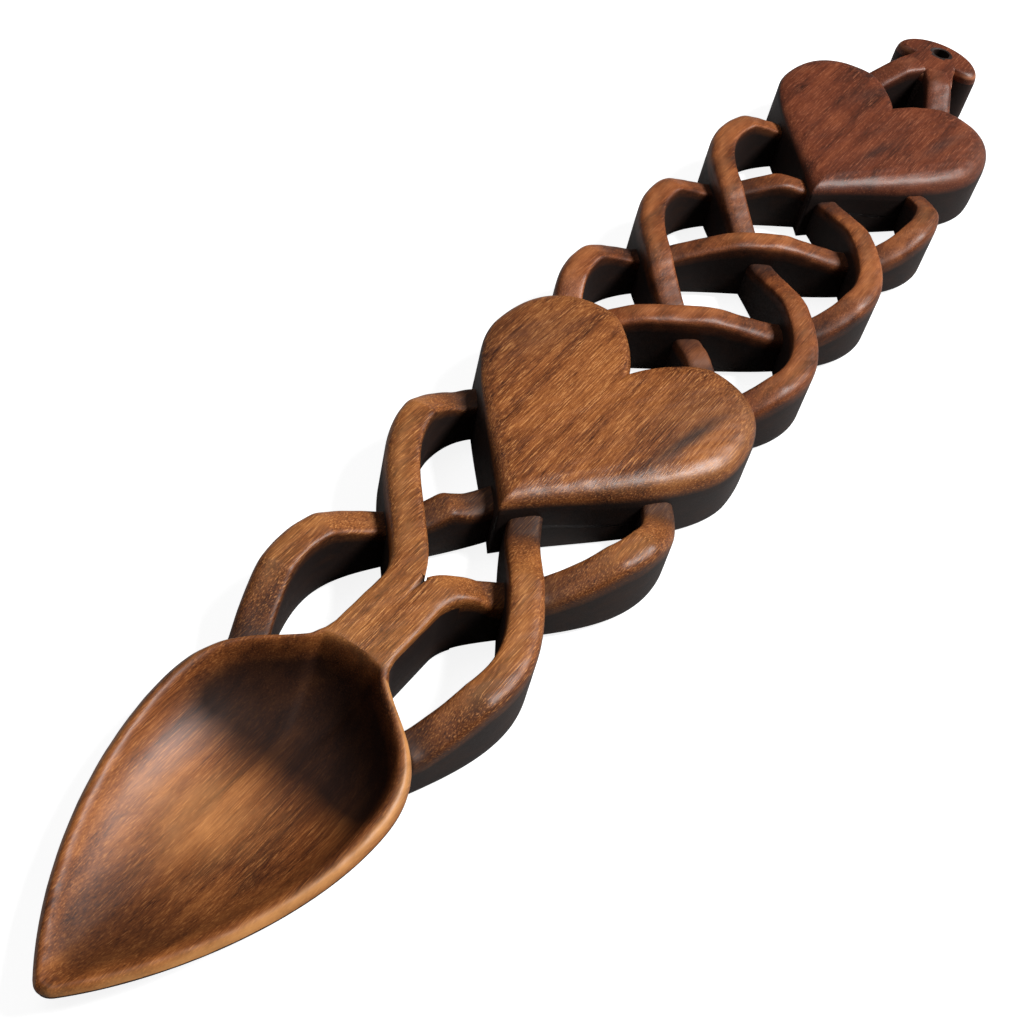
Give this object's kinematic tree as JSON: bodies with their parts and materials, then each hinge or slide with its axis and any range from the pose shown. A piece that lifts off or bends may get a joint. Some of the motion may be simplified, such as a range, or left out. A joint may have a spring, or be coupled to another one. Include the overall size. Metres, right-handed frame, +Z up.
{
  "type": "carved love spoon",
  "caption": "Long wooden spoon for display, with a pointed bowl, a forked stem, hearts, a pierced plait and a hanging hole in its finial.",
  "frame": {"origin": "under the middle of the spoon, on the surface that it lies on", "axes": "+X from the tip of the bowl to the finial, +Y across, +Z up out of the carved front"},
  "size_m": [0.305, 0.0514, 0.0135],
  "materials": {
    "stained_wood": "walnut-brown stain under satin oil, fine grain along the spoon",
    "red_stained_wood": "red-brown stain under satin oil, with darker streaks"
  },
  "bodies": {
    "root": {"bowl": "stained_wood", "stem": "stained_wood", "left_inner_strand": "stained_wood", "right_inner_strand": "stained_wood", "left_outer_strand": "stained_wood", "right_outer_strand": "stained_wood", "lower_heart": "stained_wood", "plait_strand_1": "stained_wood", "plait_strand_2": "stained_wood", "plait_strand_3": "stained_wood", "plait_strand_4": "stained_wood", "upper_heart": "red_stained_wood", "finial_left_leg": "red_stained_wood", "finial_right_leg": "red_stained_wood", "finial_head": "red_stained_wood"}
  },
  "joints": []
}
